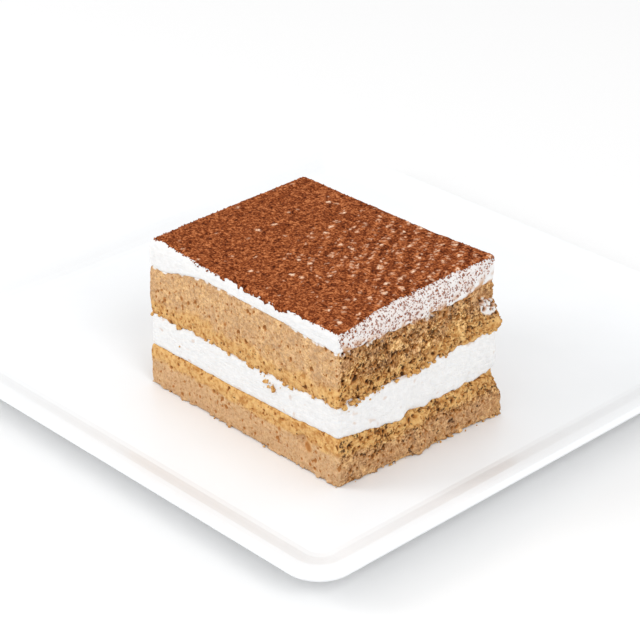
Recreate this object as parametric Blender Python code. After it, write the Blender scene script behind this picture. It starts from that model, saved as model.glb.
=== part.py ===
"""A tiramisu portion on a square porcelain plate, in metres, +Z up.

The origin is on the table under the plate's centre. The portion's long cut side faces -Y and its
torn short side faces +X. Heights in the cake are measured from the plate's well.
"""

from math import cos, exp, pi, sin, sqrt

import bmesh
import bpy
from mathutils import Vector, noise

MM = 0.001
GAP = 0.3 * MM
CUT_GAP = 0.4 * MM

# Plate
PLATE_SIDE = 200 * MM
WELL_HEIGHT = 8.0 * MM
RIM_RISE = 3.2 * MM
RIM_LIP = 3.0 * MM
RIM_THICK = 2.4 * MM
BEND_WIDTH = 10.0 * MM
UNDERSIDE_HEIGHT = 3.4 * MM
FOOT_INSET = 38.0 * MM
FOOT_WIDTH = 5.0 * MM
FOOT_HOLLOW = 2.2 * MM
FOOT_ROUND = 0.5 * MM
PLATE_CORNER = 11.0 * MM
WELL_CORNER = 4.0 * MM
ARC_STEPS = 8
BEND_STEPS = 5

# Corners of the cut block from above, round from the front left, as measured from the plate's centre
FOOT_CORNERS = [(-15.3, -59.3), (67.2, -60.4), (70.3, 2.8), (-13.2, 3.0)]
CROWN_CORNERS = [(-14.4, -58.9), (66.9, -60.9), (66.8, 1.4), (-13.6, 2.6)]
CROWN_HEIGHTS = [48.3, 48.6, 51.2, 49.2]
BLOCK_LENGTH = 82 * MM
BLOCK_WIDTH = 63 * MM
BLOCK_HEIGHT = 49.3 * MM
CORNER_RADIUS = 1.0 * MM

# Heights in millimetres of the cuts between layers: three a side, from the front left corner
LOWER_SPONGE_TOP = [13.0, 13.2, 13.7, 15.1, 13.2, 14.1, 14.6, 14.2, 14.0, 14.2, 14.0, 13.4]
MIDDLE_CREAM_TOP = [23.2, 24.2, 23.8, 25.4, 25.7, 26.8, 28.0, 26.6, 25.6, 25.0, 24.6, 24.0]
UPPER_SPONGE_TOP = [38.8, 43.4, 43.3, 42.0, 41.5, 41.5, 43.2, 43.0, 43.2, 43.0, 42.6, 41.4]

# How far the torn edge between two layers strays, in millimetres, three values a side
SMOOTH_TEAR = [0.25, 0.25, 0.25, 0.5, 0.8, 0.7, 0.6, 0.6, 0.6, 0.5, 0.4, 0.3]
RAGGED_TEAR = [0.7, 0.9, 0.9, 0.7, 0.7, 0.6, 0.7, 0.8, 0.8, 0.7, 0.7, 0.7]
CREAM_TEAR = [0.6, 0.2, 0.2, 0.5, 0.7, 0.7, 0.6, 0.5, 0.4, 0.4, 0.4, 0.5]
TEAR_LENGTH = 3.6 * MM

# Share of the full crumb relief round the block: the knife left the front smooth and tore the right
CRUMB_SHARE = [0.35, 0.35, 0.45, 0.8, 1.0, 1.0, 1.0, 0.9, 0.8, 0.7, 0.6, 0.5]
CRUMB_RELIEF = 0.55 * MM
CRUMB_SIZES = (7.0 * MM, 3.2 * MM)

# Rounded shoulder of the top cream, and where the cocoa stops on it, in millimetres
SHOULDER_WIDTH = [2.2, 1.5, 1.5, 1.2, 3.4, 3.2, 1.2, 2.4, 1.8, 1.2, 1.4, 1.4]
SHOULDER_DROP = [1.6, 1.4, 1.5, 0.7, 3.6, 3.4, 0.7, 2.6, 1.8, 0.7, 0.9, 0.9]
COCOA_INSET = [1.5, 0.3, 0.2, 0.5, 2.5, 2.2, 0.4, 0.4, 0.4, 0.4, 0.5, 0.8]
COCOA_THICK = 0.9 * MM
COCOA_GAP = 0.45 * MM
COCOA_WOBBLE = 0.35 * MM
COCOA_SKIRT = (1.2 * MM, 0.45 * MM, 0.0)
RIDGE_HEIGHT = 0.22 * MM
RIDGE_PITCH = 8.0 * MM
RIDGE_ACROSS = Vector((0.86, 0.5, 0))

# Dents in the cut sides, or lumps where the depth is below nought: side, part of its length, height,
# radius and depth in millimetres
FRONT, RIGHT, BACK, LEFT = range(4)
TEARS = [
    (FRONT, 0.82, 8.6, 2.0, 1.7),
    (FRONT, 0.05, 6.0, 2.2, 0.5),
    (FRONT, 0.98, 26.5, 3.0, -0.9),
    (RIGHT, 0.11, 30.5, 2.3, 1.9),
    (RIGHT, 0.07, 26.5, 2.4, 1.3),
    (RIGHT, 0.20, 26.4, 2.4, -1.0),
    (RIGHT, 0.30, 40.5, 1.8, 1.2),
    (RIGHT, 0.45, 12.6, 2.2, 1.5),
    (RIGHT, 0.38, 12.8, 2.0, -0.7),
    (RIGHT, 0.73, 35.0, 3.4, 1.1),
    (RIGHT, 0.93, 39.5, 2.6, 1.3),
    (RIGHT, 0.985, 29.8, 2.2, -1.4),
    (RIGHT, 0.48, 1.5, 4.0, -1.1),
    (RIGHT, 0.99, 13.0, 3.0, 1.3),
    (BACK, 0.30, 33.0, 3.0, 1.4),
    (BACK, 0.62, 8.0, 3.0, 1.2),
    (LEFT, 0.40, 30.0, 2.6, 1.1),
    (LEFT, 0.75, 9.0, 2.6, 0.9),
]

# Mesh steps
LONG_STEPS = 26
SHORT_STEPS = 20
SPONGE_ROWS = 6
CREAM_ROWS = 3
FLAT_INSET = 3.0 * MM
CORE_INSET = 14.0 * MM
EDGE_ROUND = 0.45 * MM
CREAM_SET_BACK = 0.35 * MM
SHOULDER_PARTS = (0.3, 0.65, 1.0)
CROWN_INSETS = (6 * MM, 14 * MM, 22 * MM)


def clear_scene():
    for item in list(bpy.data.objects):
        bpy.data.objects.remove(item)


def food_material(name, colour, roughness):
    made = bpy.data.materials.new(name)
    made.use_nodes = True
    shader = made.node_tree.nodes["Principled BSDF"]
    shader.inputs["Base Color"].default_value = (*colour, 1.0)
    shader.inputs["Roughness"].default_value = roughness
    shader.inputs["Metallic"].default_value = 0.0
    return made


def bridge(shape, lower, upper):
    """Faces between two rings of as many points."""
    for i in range(len(lower)):
        j = (i + 1) % len(lower)
        shape.faces.new((lower[i], lower[j], upper[j], upper[i]))


def cap_with_fan(shape, ring):
    """Faces from a ring to its middle."""
    middle = shape.verts.new(sum((corner.co for corner in ring), Vector()) / len(ring))
    for i, corner in enumerate(ring):
        shape.faces.new((corner, ring[(i + 1) % len(ring)], middle))


def cap_with_grid(shape, ring, grid_point):
    """A grid of faces inside a ring that starts at the front left corner of the block."""
    rows = [ring[: LONG_STEPS + 1]]
    back = ring[LONG_STEPS + SHORT_STEPS : 2 * LONG_STEPS + SHORT_STEPS + 1]
    for j in range(1, SHORT_STEPS):
        left = ring[len(ring) - j]
        right = ring[LONG_STEPS + j]
        middle = [
            shape.verts.new(grid_point(i / LONG_STEPS, j / SHORT_STEPS))
            for i in range(1, LONG_STEPS)
        ]
        rows.append([left, *middle, right])
    rows.append(list(reversed(back)))
    for near, far in zip(rows, rows[1:]):
        for i in range(LONG_STEPS):
            shape.faces.new((near[i], near[i + 1], far[i + 1], far[i]))


def body_from_rings(name, rings, material, gridded_top=None, sharp_angle=0.6):
    """One closed body: neighbouring rings are bridged, and the two ends get caps."""
    shape = bmesh.new()
    loops = [[shape.verts.new(point) for point in ring] for ring in rings]
    for lower, upper in zip(loops, loops[1:]):
        bridge(shape, lower, upper)
    cap_with_fan(shape, loops[0])
    if gridded_top:
        cap_with_grid(shape, loops[-1], gridded_top)
    else:
        cap_with_fan(shape, loops[-1])
    bmesh.ops.recalc_face_normals(shape, faces=shape.faces)
    mesh = bpy.data.meshes.new(name)
    shape.to_mesh(mesh)
    shape.free()
    mesh.materials.append(material)
    mesh.shade_smooth()
    mesh.set_sharp_from_angle(angle=sharp_angle)
    made = bpy.data.objects.new(name, mesh)
    bpy.context.scene.collection.objects.link(made)
    return made


def between(low, high, part):
    return low + (high - low) * part


def eased(low, high, part):
    """Between two values in an S, level at both ends."""
    part = max(0.0, min(1.0, part))
    return low + (high - low) * part * part * (3 - 2 * part)


# Plate


def rounded_square(half_side, radius, height):
    """Points round a square with arcs at its corners, anticlockwise from above."""
    centre = half_side - radius
    ring = []
    for quarter in range(4):
        x = centre if quarter in (0, 3) else -centre
        y = centre if quarter in (0, 1) else -centre
        for step in range(ARC_STEPS + 1):
            angle = (quarter + step / ARC_STEPS) * pi / 2
            ring.append(Vector((x + radius * cos(angle), y + radius * sin(angle), height)))
    return ring


def bend(start_inset, start_height, width, rise):
    """Inset and height along a dished bend that climbs outwards in an S."""
    places = []
    for step in range(BEND_STEPS + 1):
        part = step / BEND_STEPS
        places.append((start_inset - width * part, eased(start_height, start_height + rise, part)))
    return places


def plate_profile():
    """Inset from the plate's edge and height, from under its centre round the rim to its well."""
    rim_top = WELL_HEIGHT + RIM_RISE
    rim_under = rim_top - RIM_THICK
    bend_inset = RIM_LIP + BEND_WIDTH
    foot_inner = FOOT_INSET + FOOT_WIDTH
    under = bend(bend_inset, UNDERSIDE_HEIGHT, BEND_WIDTH, rim_under - UNDERSIDE_HEIGHT)
    over = bend(bend_inset, WELL_HEIGHT, BEND_WIDTH, RIM_RISE)
    foot = [
        (foot_inner + FOOT_HOLLOW, FOOT_HOLLOW),
        (foot_inner, FOOT_ROUND),
        (foot_inner - FOOT_ROUND, 0),
        (FOOT_INSET + FOOT_ROUND, 0),
        (FOOT_INSET, FOOT_ROUND),
        (FOOT_INSET - UNDERSIDE_HEIGHT, UNDERSIDE_HEIGHT),
    ]
    edge = [
        (0.25 * RIM_THICK, rim_under + 0.1 * RIM_THICK),
        (0, rim_under + 0.5 * RIM_THICK),
        (0.1 * RIM_THICK, rim_under + 0.85 * RIM_THICK),
        (0.45 * RIM_THICK, rim_top + 0.05 * RIM_THICK),
    ]
    return foot + under + edge + list(reversed(over))


def make_plate(material):
    rings = []
    for inset, height in plate_profile():
        part = min(inset / (RIM_LIP + BEND_WIDTH), 1)
        radius = PLATE_CORNER + (WELL_CORNER - PLATE_CORNER) * part
        rings.append(rounded_square(PLATE_SIDE / 2 - inset, radius, height))
    return body_from_rings("plate", rings, material, sharp_angle=0.9)


# Cake


def round_block(values, side, along):
    """The value at a part of one side, eased between the three values that each side has."""
    place = (side + along) * len(values) / 4
    index = int(place)
    return eased(values[index % len(values)], values[(index + 1) % len(values)], place - index)


def across_block(values, u, v):
    """The value at u along the block and v into its depth, between its corners' four values."""
    front = values[0] * (1 - u) + values[1] * u
    back = values[3] * (1 - u) + values[2] * u
    return front * (1 - v) + back * v


def block_point(u, v, height):
    """The point at u along, v deep and a height in the block, which leans a little."""
    foot = across_block([Vector(corner) for corner in FOOT_CORNERS], u, v)
    crown = across_block([Vector(corner) for corner in CROWN_CORNERS], u, v)
    flat = foot.lerp(crown, height / BLOCK_HEIGHT) * MM
    return Vector((flat.x, flat.y, WELL_HEIGHT + GAP + height))


def block_place(side, along, inset):
    """The u and v of a part of a side, with all four sides moved in."""
    in_u = inset / BLOCK_LENGTH
    in_v = inset / BLOCK_WIDTH
    u, v = ((along, 0), (1, along), (1 - along, 1), (0, 1 - along))[side]
    return in_u + (1 - 2 * in_u) * u, in_v + (1 - 2 * in_v) * v


def outline_point(side, along, height, inset):
    """A point of the block's outline, whose corners are cut back to their radius."""
    point = block_point(*block_place(side, along, inset), height)
    if along == 0:
        near = 2 * CORNER_RADIUS / (BLOCK_LENGTH + BLOCK_WIDTH)
        before = block_point(*block_place((side - 1) % 4, 1 - near, inset), height)
        after = block_point(*block_place(side, near, inset), height)
        point = point * 0.5 + (before + after) * 0.25
    return point


def outline_places():
    """Side and part of its length for each point round the block. A part of nought is a corner."""
    steps = {FRONT: LONG_STEPS, RIGHT: SHORT_STEPS, BACK: LONG_STEPS, LEFT: SHORT_STEPS}
    return [(side, step / count) for side, count in steps.items() for step in range(count)]


def tear_depth(point):
    """How far the dents and lumps near a point move it inwards."""
    depth = 0.0
    for side, along, height, radius, depth_mm in TEARS:
        centre = block_point(*block_place(side, along, 0), height * MM)
        reach = (point - centre).length / (radius * MM)
        depth += depth_mm * MM * exp(-reach * reach)
    return depth


def crumb_depth(point):
    """Uneven crumb on a cut side, between out and in by the full relief."""
    coarse, fine = (noise.noise(point / size) for size in CRUMB_SIZES)
    return CRUMB_RELIEF * (coarse + 0.8 * fine)


def base_height(side, along, inset):
    """The flat base of the cake."""
    return 0.0


def cut_between(heights, tear, seed):
    """The height of a torn cut between two layers: level in the core, uneven at the sides."""
    core = sum(heights) / len(heights)

    def cut_height(side, along, inset):
        edge = round_block(heights, side, along)
        place = block_point(*block_place(side, along, 0), 0) / TEAR_LENGTH
        stray = noise.noise(Vector((place.x, place.y, seed)))
        edge += stray * round_block(tear, side, along) * max(0, 1 - inset / FLAT_INSET)
        part = (inset - FLAT_INSET) / (CORE_INSET - FLAT_INSET)
        return eased(edge, core, part) * MM

    return cut_height


LOWER_CUT = cut_between(LOWER_SPONGE_TOP, SMOOTH_TEAR, 11.3)
MIDDLE_CUT = cut_between(MIDDLE_CREAM_TOP, RAGGED_TEAR, 23.7)
UPPER_CUT = cut_between(UPPER_SPONGE_TOP, CREAM_TEAR, 41.9)


def crown_height(u, v):
    """The top of the cocoa, which falls away over the shoulder at each side."""
    level = across_block(CROWN_HEIGHTS, u, v) * MM
    sides = (
        (u, v * BLOCK_WIDTH),
        (v, (1 - u) * BLOCK_LENGTH),
        (1 - u, (1 - v) * BLOCK_WIDTH),
        (1 - v, u * BLOCK_LENGTH),
    )
    total, drop = 0.0, 0.0
    for side, (along, distance) in enumerate(sides):
        width = round_block(SHOULDER_WIDTH, side, along) * MM
        out = max(0.0, 1 - distance / width) ** 2
        total += out
        drop += out * round_block(SHOULDER_DROP, side, along) * MM
    if total == 0:
        return level
    return level - drop / total * (1 - sqrt(1 - min(1.0, total)))


def surface_ring(height_at, inset):
    """A ring on a layer's top or bottom surface."""
    return [
        outline_point(side, along, height_at(side, along, inset), inset)
        for side, along in outline_places()
    ]


def wall_rings(low, high, rows, relief, set_back):
    """Rings up a layer's side, with its crumb, dents and slightly rounded edges."""
    rings = []
    for row in range(rows + 1):
        part = row / rows
        edge = EDGE_ROUND * abs(2 * part - 1) ** 6
        ring = []
        for side, along in outline_places():
            height = between(low(side, along, 0), high(side, along, 0), part)
            point = outline_point(side, along, height, 0)
            share = relief * round_block(CRUMB_SHARE, side, along)
            depth = set_back + edge + tear_depth(point) + share * crumb_depth(point)
            height = between(low(side, along, depth), high(side, along, depth), part)
            ring.append(outline_point(side, along, height, depth))
        rings.append(ring)
    return rings


def lifted(height_at, lift):
    return lambda side, along, inset: height_at(side, along, inset) + lift


def make_layer(name, below, above, rows, relief, set_back, material):
    """A layer between two cuts, with half of the gap left at each cut."""
    low = below if below is base_height else lifted(below, CUT_GAP / 2)
    high = lifted(above, -CUT_GAP / 2)
    rings = [surface_ring(low, inset) for inset in (CORE_INSET, FLAT_INSET)]
    rings += wall_rings(low, high, rows, relief, set_back)
    rings += [surface_ring(high, inset) for inset in (FLAT_INSET, CORE_INSET)]
    return body_from_rings(name, rings, material)


def crown_ring(inset, lift):
    """A ring of the crown's surface, raised by a lift."""
    return surface_ring(
        lambda side, along, inset: crown_height(*block_place(side, along, inset)) + lift, inset
    )


def edge_ring(inset_at, lift):
    """A ring of the crown's surface whose inset changes round the block."""
    ring = []
    for side, along in outline_places():
        inset = inset_at(side, along)
        height = crown_height(*block_place(side, along, inset)) + lift
        ring.append(outline_point(side, along, height, inset))
    return ring


def make_top_cream(material):
    """The top cream, whose shoulder carries the cocoa's edge."""
    below_cocoa = -COCOA_THICK - COCOA_GAP

    def high(side, along, inset):
        return crown_height(*block_place(side, along, inset)) + below_cocoa

    def shoulder_ring(part):
        return edge_ring(
            lambda side, along: part * round_block(SHOULDER_WIDTH, side, along) * MM, below_cocoa
        )

    low = lifted(UPPER_CUT, CUT_GAP / 2)
    rings = [surface_ring(low, inset) for inset in (CORE_INSET, FLAT_INSET)]
    rings += wall_rings(low, high, CREAM_ROWS, 0.5, 0)
    rings += [shoulder_ring(part) for part in SHOULDER_PARTS]
    rings += [crown_ring(inset, below_cocoa) for inset in CROWN_INSETS]
    return body_from_rings("cream_top", rings, material)


def ridge(point):
    """The soft ridges that the sieved cocoa shows."""
    across = point.dot(RIDGE_ACROSS) / RIDGE_PITCH
    wander = noise.noise(point / (9 * MM))
    return RIDGE_HEIGHT * (sin(2 * pi * (across + 0.5 * wander)) + noise.noise(point / (3.5 * MM)))


def make_cocoa(material):
    """A thin skin of cocoa over the cream, with a feathered edge."""

    def strewn_ring(extra, lift):
        def inset_at(side, along):
            place = block_point(*block_place(side, along, 0), 0) / TEAR_LENGTH
            edge = round_block(COCOA_INSET, side, along) * MM
            return edge + COCOA_WOBBLE * noise.noise(place) + extra

        return edge_ring(inset_at, lift)

    def top_point(u, v):
        in_u = CROWN_INSETS[0] / BLOCK_LENGTH
        in_v = CROWN_INSETS[0] / BLOCK_WIDTH
        u = in_u + (1 - 2 * in_u) * u
        v = in_v + (1 - 2 * in_v) * v
        point = block_point(u, v, crown_height(u, v))
        return point + Vector((0, 0, ridge(point)))

    rings = [crown_ring(inset, -COCOA_THICK) for inset in reversed(CROWN_INSETS)]
    rings += [strewn_ring(extra, -COCOA_THICK) for extra in COCOA_SKIRT]
    rings += [strewn_ring(-0.3 * MM, -0.45 * COCOA_THICK), strewn_ring(0.5 * MM, 0)]
    rings += [crown_ring(CROWN_INSETS[0], 0)]
    return body_from_rings("cocoa", rings, material, gridded_top=top_point)


def main():
    clear_scene()
    porcelain = food_material("porcelain", (0.86, 0.86, 0.85), 0.12)
    sponge = food_material("sponge", (0.62, 0.38, 0.17), 0.85)
    cream = food_material("cream", (0.86, 0.85, 0.83), 0.5)
    powder = food_material("cocoa_powder", (0.30, 0.09, 0.035), 0.95)
    make_plate(porcelain)
    make_layer("sponge_lower", base_height, LOWER_CUT, SPONGE_ROWS, 1.0, 0, sponge)
    make_layer("cream_middle", LOWER_CUT, MIDDLE_CUT, CREAM_ROWS, 0.45, CREAM_SET_BACK, cream)
    make_layer("sponge_upper", MIDDLE_CUT, UPPER_CUT, SPONGE_ROWS, 1.0, 0, sponge)
    make_top_cream(cream)
    make_cocoa(powder)


main()
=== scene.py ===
"""Looks for a tiramisu portion on its square plate: crumb, cream, cocoa, glaze, light and camera.

The cake's pieces repeat the form of the solids from the same named sizes, on a fine mesh, and add
the crumb, pores, streaks and grains that the photograph shows. Lengths are in metres, and in
millimetres in the lists that say so.
"""

import random
from itertools import product
from math import cos, pi, radians, sin

import bmesh
import bpy
import numpy as np
from mathutils import Matrix, Vector, noise


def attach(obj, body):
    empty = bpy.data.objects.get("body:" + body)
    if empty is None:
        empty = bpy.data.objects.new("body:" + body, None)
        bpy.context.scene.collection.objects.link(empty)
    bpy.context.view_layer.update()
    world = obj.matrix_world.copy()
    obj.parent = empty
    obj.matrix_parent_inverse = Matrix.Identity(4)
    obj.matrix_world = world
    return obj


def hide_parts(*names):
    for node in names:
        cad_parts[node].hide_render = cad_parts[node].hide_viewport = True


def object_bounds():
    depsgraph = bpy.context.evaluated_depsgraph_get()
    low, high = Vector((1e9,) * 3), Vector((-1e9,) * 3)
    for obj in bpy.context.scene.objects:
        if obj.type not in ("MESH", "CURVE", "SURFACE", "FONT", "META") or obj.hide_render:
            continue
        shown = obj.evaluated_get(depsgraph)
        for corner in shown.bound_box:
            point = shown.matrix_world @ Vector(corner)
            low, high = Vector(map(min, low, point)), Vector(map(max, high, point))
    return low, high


MM = 0.001
BODY = "root"

# The block, as in the solids. Corners and lists round the block are in millimetres. A list gives
# three places a side, from the front left corner anticlockwise.
GAP = 0.3 * MM
WELL_HEIGHT = 8.0 * MM
FOOT_CORNERS = [(-15.3, -59.3), (67.2, -60.4), (70.3, 2.8), (-13.2, 3.0)]
CROWN_CORNERS = [(-14.4, -58.9), (66.9, -60.9), (66.8, 1.4), (-13.6, 2.6)]
CROWN_HEIGHTS = [48.3, 48.6, 51.2, 49.2]
BLOCK_LENGTH = 82 * MM
BLOCK_WIDTH = 63 * MM
BLOCK_HEIGHT = 49.3 * MM
CORNER_RADIUS = 1.0 * MM
LOWER_SPONGE_TOP = [13.0, 13.2, 13.7, 15.1, 13.2, 14.1, 14.6, 14.2, 14.0, 14.2, 14.0, 13.4]
MIDDLE_CREAM_TOP = [23.2, 24.2, 23.8, 25.4, 25.7, 26.8, 28.0, 26.6, 25.6, 25.0, 24.6, 24.0]
UPPER_SPONGE_TOP = [38.8, 43.4, 43.3, 42.0, 41.5, 41.5, 43.2, 43.0, 43.2, 43.0, 42.6, 41.4]
SMOOTH_TEAR = [0.25, 0.25, 0.25, 0.5, 0.8, 0.7, 0.6, 0.6, 0.6, 0.5, 0.4, 0.3]
RAGGED_TEAR = [0.7, 0.9, 0.9, 0.7, 0.7, 0.6, 0.7, 0.8, 0.8, 0.7, 0.7, 0.7]
CREAM_TEAR = [0.6, 0.2, 0.2, 0.5, 0.7, 0.7, 0.6, 0.5, 0.4, 0.4, 0.4, 0.5]
TEAR_LENGTH = 3.6 * MM
CRUMB_SHARE = [0.35, 0.35, 0.45, 0.8, 1.0, 1.0, 1.0, 0.9, 0.8, 0.7, 0.6, 0.5]
CRUMB_RELIEF = 0.55 * MM
CRUMB_SIZES = (7.0 * MM, 3.2 * MM)
SHOULDER_WIDTH = [2.2, 1.5, 1.5, 1.2, 3.4, 3.2, 1.2, 2.4, 1.8, 1.2, 1.4, 1.4]
SHOULDER_DROP = [1.6, 1.4, 1.5, 0.7, 3.6, 3.4, 0.7, 2.6, 1.8, 0.7, 0.9, 0.9]
COCOA_INSET = [1.5, 0.3, 0.2, 0.5, 2.5, 2.2, 0.4, 0.4, 0.4, 0.4, 0.5, 0.8]
COCOA_THICK = 0.9 * MM
COCOA_WOBBLE = 0.35 * MM
RIDGE_HEIGHT = 0.22 * MM
RIDGE_PITCH = 8.0 * MM
RIDGE_ACROSS = np.array((0.86, 0.5, 0))
FLAT_INSET = 3.0 * MM
CORE_INSET = 14.0 * MM
EDGE_ROUND = 0.45 * MM
CREAM_SET_BACK = 0.35 * MM
FRONT, RIGHT, BACK, LEFT = range(4)
# Dents and lumps: side, how far along it, height, radius and depth, in millimetres
TEARS = [
    (FRONT, 0.82, 8.6, 2.0, 1.7),
    (FRONT, 0.05, 6.0, 2.2, 0.5),
    (FRONT, 0.98, 26.5, 3.0, -0.9),
    (RIGHT, 0.11, 30.5, 2.3, 1.9),
    (RIGHT, 0.07, 26.5, 2.4, 1.3),
    (RIGHT, 0.20, 26.4, 2.4, -1.0),
    (RIGHT, 0.30, 40.5, 1.8, 1.2),
    (RIGHT, 0.45, 12.6, 2.2, 1.5),
    (RIGHT, 0.38, 12.8, 2.0, -0.7),
    (RIGHT, 0.73, 35.0, 3.4, 1.1),
    (RIGHT, 0.93, 39.5, 2.6, 1.3),
    (RIGHT, 0.985, 29.8, 2.2, -1.4),
    (RIGHT, 0.48, 1.5, 4.0, -1.1),
    (RIGHT, 0.99, 13.0, 3.0, 1.3),
    (BACK, 0.30, 33.0, 3.0, 1.4),
    (BACK, 0.62, 8.0, 3.0, 1.2),
    (LEFT, 0.40, 30.0, 2.6, 1.1),
    (LEFT, 0.75, 9.0, 2.6, 0.9),
]

# Fine relief
MESH_STEP = 0.25 * MM
SHOULDER_STEPS = 27
ALMOST_ONE = 0.9999
# Waves of a torn cut: size and share
FINE_TEARS = ((5.0 * MM, 0.5), (2.2 * MM, 0.8), (1.1 * MM, 0.5), (0.6 * MM, 0.2))
# How open the crumb is at the front, right, back and left
OPEN_SIDES = (0.35, 1.0, 0.9, 0.5)
GRAIN_SIZES = (1.7 * MM, 0.8 * MM)
GRAIN_RELIEF = 0.34 * MM
CRUMB_SPACING = 2.0 * MM
CREVICE_DEPTH = 0.6 * MM
# Spacing, share of cells with a pore where the crumb is close and where it is open, radius in
# spacings, depth and the strength of the painted shade in the pore
PORE_KINDS = (
    (3.4 * MM, 0.18, 0.50, 0.12, 0.90 * MM, 1.0),
    (1.8 * MM, 0.14, 0.50, 0.15, 0.50 * MM, 0.9),
)
SPILL_HEIGHT = 0.9 * MM
SPILL_OUT = 2.4 * MM
SPILL_MOST = 0.7 * MM
STROKE_SIZE = 2.0 * MM
STROKE_RELIEF = 0.12 * MM
COCOA_GRAIN_SIZES = (1.6 * MM, 0.6 * MM)
COCOA_GRAIN_RELIEF = 0.10 * MM
COCOA_RELIEF_MOST = 0.22 * MM
# Spacing, radius in spacings, share and paleness of the cocoa's flecks
FLECK_KINDS = ((2.6 * MM, 0.30, 1.0, 1.0), (1.5 * MM, 0.40, 1.6, 0.55))

# Soft patches of colour: how far round the block, height, width and strength, in millimetres
ORANGE_PATCHES = [
    (RIGHT + 0.035, 31.0, 2.2, 0.9), (RIGHT + 0.71, 34.0, 3.0, 1.0),
    (RIGHT + 0.962, 12.0, 2.2, 0.8), (RIGHT + 0.97, 3.4, 2.0, 0.8),
    (FRONT + 0.845, 7.6, 1.6, 0.9), (FRONT + 0.97, 27.7, 2.2, 0.8),
    (RIGHT + 0.42, 11.0, 2.2, 0.6), (RIGHT + 0.20, 5.0, 2.0, 0.5),
    (RIGHT + 0.60, 2.0, 2.0, 0.6),
]
CREAM_PATCHES = [(RIGHT + 0.948, 35.8, 2.3, 2.6), (RIGHT + 0.10, 42.0, 3.0, 0.8)]
# Painted shade in deep holes of the crumb, given like the patches above
HOLE_SHADE_PATCHES = [
    (FRONT + 0.845, 7.6, 1.2, 1.1), (FRONT + 0.088, 30.3, 0.7, 0.9),
    (FRONT + 0.184, 33.9, 0.8, 0.9), (FRONT + 0.42, 33.0, 0.6, 0.8),
    (FRONT + 0.70, 8.6, 0.7, 0.8), (RIGHT + 0.295, 38.5, 0.6, 1.0),
    (RIGHT + 0.292, 37.3, 0.6, 1.0), (RIGHT + 0.298, 36.1, 0.6, 1.0),
    (RIGHT + 0.098, 31.5, 1.5, 1.1), (RIGHT + 0.116, 25.6, 1.1, 1.0),
    (RIGHT + 0.424, 11.4, 0.9, 1.0), (RIGHT + 0.22, 34.5, 0.9, 0.9),
    (RIGHT + 0.93, 38.0, 0.9, 1.0), (RIGHT + 0.80, 41.0, 0.7, 1.0),
    (RIGHT + 0.52, 40.6, 0.8, 0.9), (RIGHT + 0.64, 38.5, 0.7, 0.9),
    (RIGHT + 0.35, 41.2, 0.8, 0.9),
]

# Loose crumbs. A cluster is given by how far round it is, its height, its spread round and up, and
# its count, in millimetres. Crumbs up to FINE_CRUMB get few faces.
CRUMB_CLUSTERS = [
    (FRONT + 0.66, 20.8, 0.03, 1.2, 14), (FRONT + 0.163, 17.1, 0.006, 0.3, 2),
    (RIGHT + 0.18, 24.8, 0.05, 0.7, 14), (RIGHT + 0.44, 26.4, 0.04, 0.4, 6),
    (FRONT + 0.985, 26.5, 0.012, 1.4, 10), (RIGHT + 0.04, 27.5, 0.025, 1.6, 26),
    (RIGHT + 0.20, 26.6, 0.03, 0.5, 14), (RIGHT + 0.97, 30.0, 0.015, 1.2, 10),
]
CRUMB_RADII = (0.2, 0.3, 0.4, 0.6, 0.8)
CRUMBS_AT_CUT = 90
CRUMBS_AT_FOOT = 60
GRAINS_ON_CREAM = 260
GRAINS_AT_EDGE = 700
FINE_CRUMB = 0.35 * MM

# Camera
CAMERA_AZIMUTH = radians(46.2744)
CAMERA_ELEVATION = radians(28.0918)
CAMERA_PLACE = Vector((0.43581, -0.42041, 0.33633))
PHOTO_SIDE = 640
FOCAL_PIXELS = 2200
SENSOR = 36.0

# Stage
FLOOR_HALF = 4.0
FLOOR_WHITE = 0.85
WORLD_STRENGTH = 0.92
LIGHT_TARGET = (0.02, -0.02, 0.02)
LIGHT_SIZE = 0.6
LIGHTS = (("key", (-0.75, -0.85, 0.65), 5.2), ("fill", (0.95, -0.33, 0.85), 4.7))


# Numbers on arrays of points


def noise_at(points, size, seed=0.0):
    """Smooth noise between about -1 and 1 at each point, with features of a size in metres."""
    places = np.asarray(points) / size + seed
    values = [noise.noise(place) for place in places.reshape(-1, 3).tolist()]
    return np.array(values).reshape(places.shape[:-1])


def scattered(cells, seed):
    """Numbers from nought to one that each cell of a grid has of its own."""
    mixed = cells @ np.array((127.1, 311.7, 74.7))[: cells.shape[-1]]
    return np.sin(mixed + seed) * 43758.5453 % 1.0


def cells_at(points, size, seed=0.0):
    """Cells round scattered points: the distance to the nearest point and to the cell's border, as
    parts of their spacing, and a random number that each cell has of its own."""
    places = np.asarray(points) / size
    corner = np.floor(places)
    near = np.full(places.shape[:-1], 9.0)
    second = near.copy()
    number = near.copy()
    for step in product((-1, 0, 1), repeat=places.shape[-1]):
        cells = corner + step
        shifts = [scattered(cells, seed + 1.7 * axis) for axis in range(len(step))]
        centre = cells + np.stack(shifts, axis=-1)
        distance = np.linalg.norm(places - centre, axis=-1)
        closer = distance < near
        second = np.where(closer, near, np.minimum(second, distance))
        near = np.where(closer, distance, near)
        number = np.where(closer, scattered(cells, seed + 9.1), number)
    return near, second - near, number


def eased(low, high, part):
    """From low to high as the part goes from nought to one, with soft ends."""
    part = np.clip(part, 0, 1)
    return low + (high - low) * part * part * (3 - 2 * part)


def round_block(values, around):
    """The value at a place round the block, eased between the three values that each side has."""
    values = np.array(values)
    scaled = np.asarray(around) % 4 * len(values) / 4
    index = np.floor(scaled).astype(int)
    return eased(values[index % len(values)], values[(index + 1) % len(values)], scaled - index)


# Form of the block. A place round it runs from 0 at the front left corner, anticlockwise and in
# sides: 1.5 is halfway along the right side.


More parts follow.
